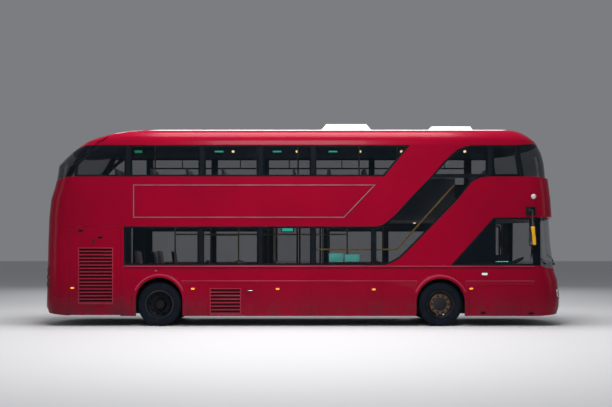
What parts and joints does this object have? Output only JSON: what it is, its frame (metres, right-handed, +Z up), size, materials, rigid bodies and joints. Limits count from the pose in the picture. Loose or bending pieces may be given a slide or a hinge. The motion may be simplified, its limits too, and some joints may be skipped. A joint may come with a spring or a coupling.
{
  "type": "double decker bus",
  "caption": "Red double decker city bus with wrap-round glazing, stairs to the upper deck, gliding doors, steering front wheels and paired rear wheels.",
  "frame": {"origin": "on the ground, at mid length and mid width", "axes": "+X forward, +Y to the nearside where the doors are, +Z up"},
  "size_m": [11.2298, 3, 4.39],
  "materials": {
    "red_paint": "gloss",
    "white_paint": "gloss",
    "black_paint": "gloss",
    "tinted_glass": "gloss",
    "clear_glass": "gloss",
    "door_leaf": "gloss",
    "stair_trim": "satin",
    "grey_trim": "satin",
    "floor_cover": "matte",
    "cast_metal": "matte",
    "chassis_paint": "satin",
    "seat_fabric": "matte",
    "black_fabric": "matte",
    "yellow_rail": "satin",
    "black_trim": "satin",
    "tyre_rubber": "matte",
    "wheel_paint": "satin",
    "lamp_clear": "gloss",
    "lamp_red": "gloss"
  },
  "bodies": {
    "body": {"roof_shell": "red_paint", "roof_centre": "white_paint", "roof_pods": "white_paint", "offside_wall": "red_paint", "nearside_wall": "red_paint", "offside_skirt": "red_paint", "nearside_skirt": "red_paint", "rear_lower_panel": "red_paint", "rear_upper_panel": "red_paint", "front_lower_panel": "red_paint", "front_upper_panel": "red_paint", "window_pillars": "black_paint", "side_glass_upper": "tinted_glass", "side_glass_lower": "tinted_glass", "windscreen": "clear_glass", "front_upper_glass": "tinted_glass", "rear_glass": "tinted_glass", "staircases": "stair_trim", "wheel_boxes": "grey_trim", "lower_floor": "floor_cover", "upper_floor": "floor_cover", "engine_block": "cast_metal", "rear_dome": "red_paint", "stair_guards": "grey_trim", "stair_rail": "yellow_rail", "chassis_frame": "chassis_paint", "front_axle": "chassis_paint", "rear_axle": "chassis_paint", "passenger_seats": "seat_fabric", "handrails": "yellow_rail", "cab_partition": "grey_trim", "dashboard": "black_trim", "driver_seat": "black_fabric", "mirrors": "black_trim", "headlamps": "lamp_clear", "tail_lamps": "lamp_red"},
    "engine_door": {"engine_door": "red_paint"},
    "steering_wheel": {"steering_wheel": "black_trim"},
    "front_wheel_offside": {"front_tyre_offside": "tyre_rubber", "front_rim_offside": "wheel_paint"},
    "rear_wheels_offside": {"rear_tyres_offside": "tyre_rubber", "rear_rims_offside": "wheel_paint"},
    "knuckle_offside": {"knuckle_offside": "chassis_paint"},
    "front_wheel_nearside": {"front_tyre_nearside": "tyre_rubber", "front_rim_nearside": "wheel_paint"},
    "rear_wheels_nearside": {"rear_tyres_nearside": "tyre_rubber", "rear_rims_nearside": "wheel_paint"},
    "knuckle_nearside": {"knuckle_nearside": "chassis_paint"},
    "front_door_rear_post": {"front_door_rear_post": "black_paint"},
    "front_door_rear_leaf": {"front_door_rear_leaf": "door_leaf"},
    "front_door_front_post": {"front_door_front_post": "black_paint"},
    "front_door_front_leaf": {"front_door_front_leaf": "door_leaf"},
    "middle_door_rear_post": {"middle_door_rear_post": "black_paint"},
    "middle_door_rear_leaf": {"middle_door_rear_leaf": "door_leaf"},
    "middle_door_front_post": {"middle_door_front_post": "black_paint"},
    "middle_door_front_leaf": {"middle_door_front_leaf": "door_leaf"},
    "rear_door_post": {"rear_door_post": "black_paint"},
    "rear_door_leaf": {"rear_door_leaf": "door_leaf"}
  },
  "joints": [
    {"name": "steer_offside", "type": "hinge", "parent": "body", "child": "knuckle_offside", "pos_m": [2.894, -0.95, 0.46], "axis": [0, 0, 1], "range_deg": [-38, 38]},
    {"name": "front_wheel_offside_spin", "type": "hinge", "parent": "knuckle_offside", "child": "front_wheel_offside", "pos_m": [2.894, -1.1, 0.46], "axis": [0, 1, 0], "continuous": true},
    {"name": "rear_wheels_offside_spin", "type": "hinge", "parent": "body", "child": "rear_wheels_offside", "pos_m": [-3.01, -0.95, 0.46], "axis": [0, 1, 0], "continuous": true},
    {"name": "steer_nearside", "type": "hinge", "parent": "body", "child": "knuckle_nearside", "pos_m": [2.894, 0.95, 0.46], "axis": [0, 0, 1], "range_deg": [-38, 38]},
    {"name": "front_wheel_nearside_spin", "type": "hinge", "parent": "knuckle_nearside", "child": "front_wheel_nearside", "pos_m": [2.894, 1.1, 0.46], "axis": [0, 1, 0], "continuous": true},
    {"name": "rear_wheels_nearside_spin", "type": "hinge", "parent": "body", "child": "rear_wheels_nearside", "pos_m": [-3.01, 0.95, 0.46], "axis": [0, 1, 0], "continuous": true},
    {"name": "steering_wheel_turn", "type": "hinge", "parent": "body", "child": "steering_wheel", "pos_m": [4.56, -0.7, 1.33], "axis": [-0.4695, 0, 0.8829], "range_deg": [-608, 608]},
    {"name": "engine_door_hinge", "type": "hinge", "parent": "body", "child": "engine_door", "pos_m": [-3.827, -1.262, 1.15], "axis": [0, 0, 1], "range_deg": [0, 100]},
    {"name": "front_door_rear_post_turn", "type": "hinge", "parent": "body", "child": "front_door_rear_post", "pos_m": [3.6, 1.238, 1.3], "axis": [0, 0, -1], "range_deg": [0, 88]},
    {"name": "front_door_rear_leaf_turn", "type": "hinge", "parent": "front_door_rear_post", "child": "front_door_rear_leaf", "pos_m": [3.895, 1.238, 1.3], "axis": [0, 0, 1], "range_deg": [0, 176]},
    {"name": "front_door_front_post_turn", "type": "hinge", "parent": "body", "child": "front_door_front_post", "pos_m": [4.74, 1.238, 1.3], "axis": [0, 0, 1], "range_deg": [0, 88]},
    {"name": "front_door_front_leaf_turn", "type": "hinge", "parent": "front_door_front_post", "child": "front_door_front_leaf", "pos_m": [4.445, 1.238, 1.3], "axis": [0, 0, -1], "range_deg": [0, 176]},
    {"name": "middle_door_rear_post_turn", "type": "hinge", "parent": "body", "child": "middle_door_rear_post", "pos_m": [-0.68, 1.238, 1.3], "axis": [0, 0, -1], "range_deg": [0, 88]},
    {"name": "middle_door_rear_leaf_turn", "type": "hinge", "parent": "middle_door_rear_post", "child": "middle_door_rear_leaf", "pos_m": [-0.385, 1.238, 1.3], "axis": [0, 0, 1], "range_deg": [0, 176]},
    {"name": "middle_door_front_post_turn", "type": "hinge", "parent": "body", "child": "middle_door_front_post", "pos_m": [0.46, 1.238, 1.3], "axis": [0, 0, 1], "range_deg": [0, 88]},
    {"name": "middle_door_front_leaf_turn", "type": "hinge", "parent": "middle_door_front_post", "child": "middle_door_front_leaf", "pos_m": [0.165, 1.238, 1.3], "axis": [0, 0, -1], "range_deg": [0, 176]},
    {"name": "rear_door_post_turn", "type": "hinge", "parent": "body", "child": "rear_door_post", "pos_m": [-4.84, 1.238, 1.3], "axis": [0, 0, -1], "range_deg": [0, 88]},
    {"name": "rear_door_leaf_turn", "type": "hinge", "parent": "rear_door_post", "child": "rear_door_leaf", "pos_m": [-4.42, 1.238, 1.3], "axis": [0, 0, 1], "range_deg": [0, 176]}
  ],
  "couplings": [
    {"joint": "steer_nearside", "follows": "steer_offside", "ratio": 1},
    {"joint": "steering_wheel_turn", "follows": "steer_offside", "ratio": 16},
    {"joint": "front_door_rear_leaf_turn", "follows": "front_door_rear_post_turn", "ratio": 2},
    {"joint": "front_door_front_post_turn", "follows": "front_door_rear_post_turn", "ratio": 1},
    {"joint": "front_door_front_leaf_turn", "follows": "front_door_rear_post_turn", "ratio": 2},
    {"joint": "middle_door_rear_leaf_turn", "follows": "middle_door_rear_post_turn", "ratio": 2},
    {"joint": "middle_door_front_post_turn", "follows": "middle_door_rear_post_turn", "ratio": 1},
    {"joint": "middle_door_front_leaf_turn", "follows": "middle_door_rear_post_turn", "ratio": 2},
    {"joint": "rear_door_leaf_turn", "follows": "rear_door_post_turn", "ratio": 2}
  ]
}
